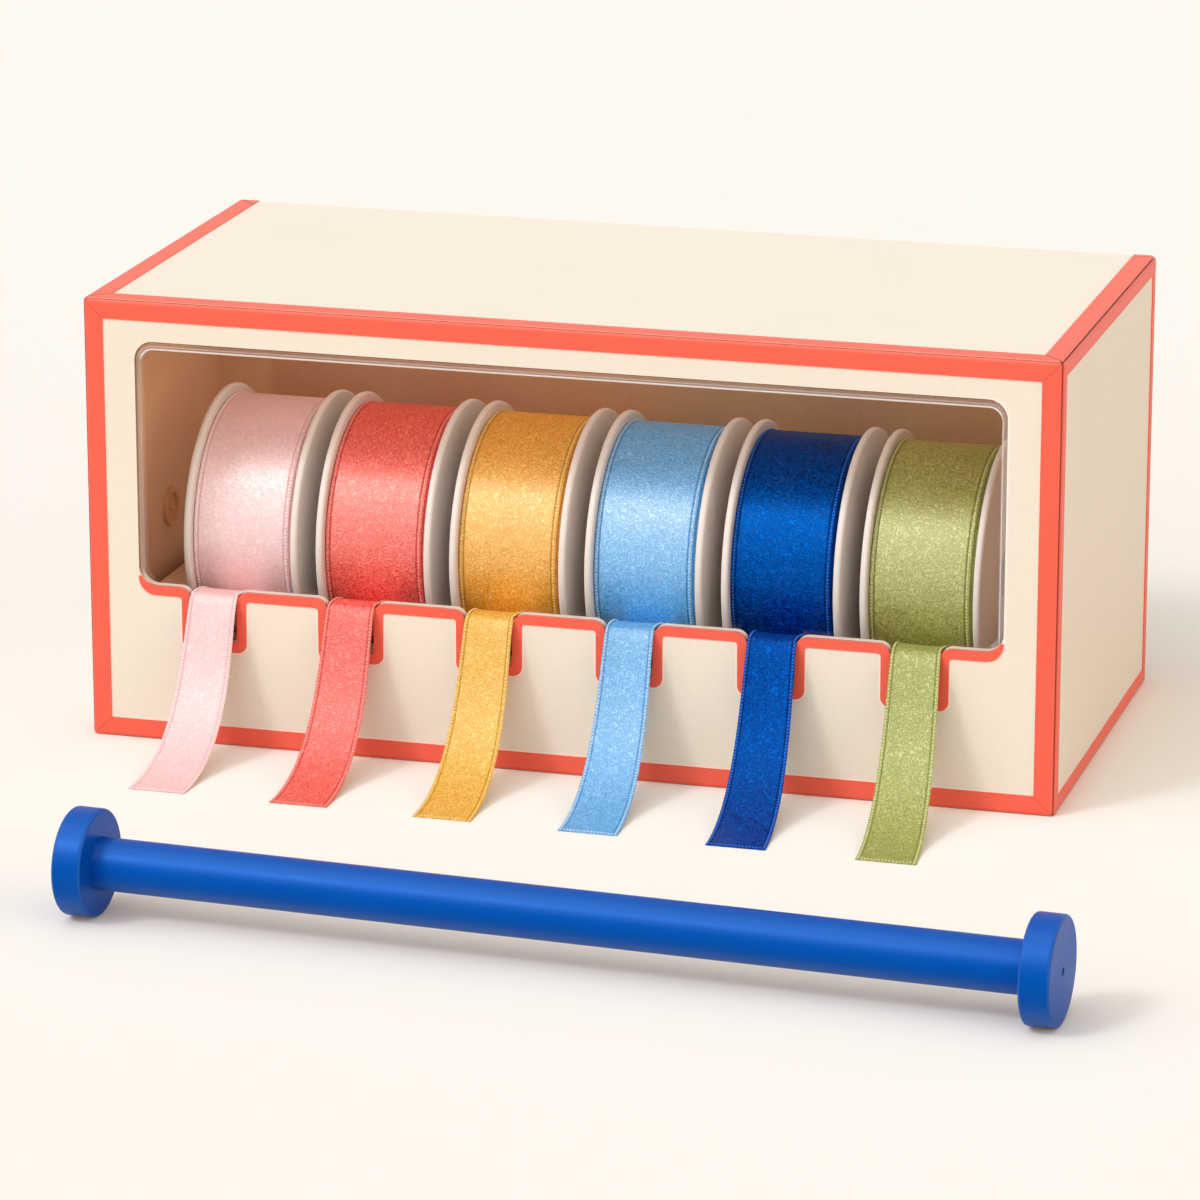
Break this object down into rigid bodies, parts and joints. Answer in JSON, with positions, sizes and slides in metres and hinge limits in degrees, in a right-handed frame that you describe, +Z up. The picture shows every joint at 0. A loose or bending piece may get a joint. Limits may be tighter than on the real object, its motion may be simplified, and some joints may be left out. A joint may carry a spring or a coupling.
{
  "type": "ribbon spool dispenser",
  "caption": "Board dispenser box for ribbon spools, with hinged lid, clear window, notched sill for the free ribbon ends and a loose spindle.",
  "frame": {"origin": "middle of the box's underside", "axes": "+Z up, +X to the right along the row of spools, +Y to the back; the notched front faces -Y"},
  "size_m": [0.4067, 0.3979, 0.1654],
  "materials": {
    "cream_board": "paper-wrapped, matt",
    "cream_paper": "matt",
    "coral_paper": "fine-grained, matt",
    "tan_board": "kraft, matt",
    "clear_pane": "clear, gloss",
    "spool_plastic": "satin",
    "core_board": "matt",
    "seat_plastic": "matt",
    "spindle_plastic": "satin",
    "pink_satin": "satin",
    "coral_satin": "satin",
    "yellow_satin": "satin",
    "light_blue_satin": "satin",
    "royal_blue_satin": "satin",
    "olive_satin": "satin"
  },
  "bodies": {
    "box": {"front_panel": "cream_board", "back_panel": "cream_board", "left_panel": "cream_board", "right_panel": "cream_board", "base_panel": "cream_board", "left_binding": "coral_paper", "right_binding": "coral_paper", "back_binding": "coral_paper", "hinge_tape": "cream_paper", "sill_binding": "coral_paper", "window_pane": "clear_pane", "tray_floor": "tan_board", "tray_back": "tan_board", "tray_left_wall": "tan_board", "tray_right_wall": "tan_board", "cradle_rail_front": "tan_board", "cradle_rail_back": "tan_board", "cradle_cheek_left": "tan_board", "cradle_cheek_right": "tan_board", "pivot_seat_left": "seat_plastic", "pivot_seat_right": "seat_plastic", "front_binding_top": "coral_paper", "front_binding_bottom": "coral_paper", "front_binding_left": "coral_paper", "front_binding_right": "coral_paper", "pink_tail": "pink_satin", "coral_tail": "coral_satin", "yellow_tail": "yellow_satin", "light_blue_tail": "light_blue_satin", "royal_blue_tail": "royal_blue_satin", "olive_tail": "olive_satin"},
    "lid": {"lid_panel": "cream_board", "lid_binding": "coral_paper"},
    "pink_spool": {"pink_flange_left": "spool_plastic", "pink_flange_right": "spool_plastic", "pink_core": "core_board", "pink_winding": "pink_satin"},
    "coral_spool": {"coral_flange_left": "spool_plastic", "coral_flange_right": "spool_plastic", "coral_core": "core_board", "coral_winding": "coral_satin"},
    "yellow_spool": {"yellow_flange_left": "spool_plastic", "yellow_flange_right": "spool_plastic", "yellow_core": "core_board", "yellow_winding": "yellow_satin"},
    "light_blue_spool": {"light_blue_flange_left": "spool_plastic", "light_blue_flange_right": "spool_plastic", "light_blue_core": "core_board", "light_blue_winding": "light_blue_satin"},
    "royal_blue_spool": {"royal_blue_flange_left": "spool_plastic", "royal_blue_flange_right": "spool_plastic", "royal_blue_core": "core_board", "royal_blue_winding": "royal_blue_satin"},
    "olive_spool": {"olive_flange_left": "spool_plastic", "olive_flange_right": "spool_plastic", "olive_core": "core_board", "olive_winding": "olive_satin"},
    "spindle": {"spindle_rod": "spindle_plastic", "spindle_knob_left": "spindle_plastic"},
    "spindle_knob": {"spindle_knob_right": "spindle_plastic"}
  },
  "joints": [
    {"name": "lid_hinge", "type": "hinge", "parent": "box", "child": "lid", "pos_m": [0, 0.086, 0.165], "axis": [-1, 0, 0], "range_deg": [0, 240]},
    {"name": "pink_spin", "type": "hinge", "parent": "box", "child": "pink_spool", "pos_m": [-0.129, -0.018, 0.0693], "axis": [1, 0, 0], "continuous": true},
    {"name": "coral_spin", "type": "hinge", "parent": "box", "child": "coral_spool", "pos_m": [-0.078, -0.018, 0.0693], "axis": [1, 0, 0], "continuous": true},
    {"name": "yellow_spin", "type": "hinge", "parent": "box", "child": "yellow_spool", "pos_m": [-0.027, -0.018, 0.0693], "axis": [1, 0, 0], "continuous": true},
    {"name": "light_blue_spin", "type": "hinge", "parent": "box", "child": "light_blue_spool", "pos_m": [0.024, -0.018, 0.0693], "axis": [1, 0, 0], "continuous": true},
    {"name": "royal_blue_spin", "type": "hinge", "parent": "box", "child": "royal_blue_spool", "pos_m": [0.075, -0.018, 0.0693], "axis": [1, 0, 0], "continuous": true},
    {"name": "olive_spin", "type": "hinge", "parent": "box", "child": "olive_spool", "pos_m": [0.126, -0.018, 0.0693], "axis": [1, 0, 0], "continuous": true},
    {"name": "spindle_lift", "type": "slide", "parent": "box", "child": "spindle", "axis": [0, 0, 1], "range_m": [0, 0.25]},
    {"name": "knob_pull", "type": "slide", "parent": "spindle", "child": "spindle_knob", "axis": [0.9986, -0.0523, 0], "range_m": [0, 0.03]}
  ]
}
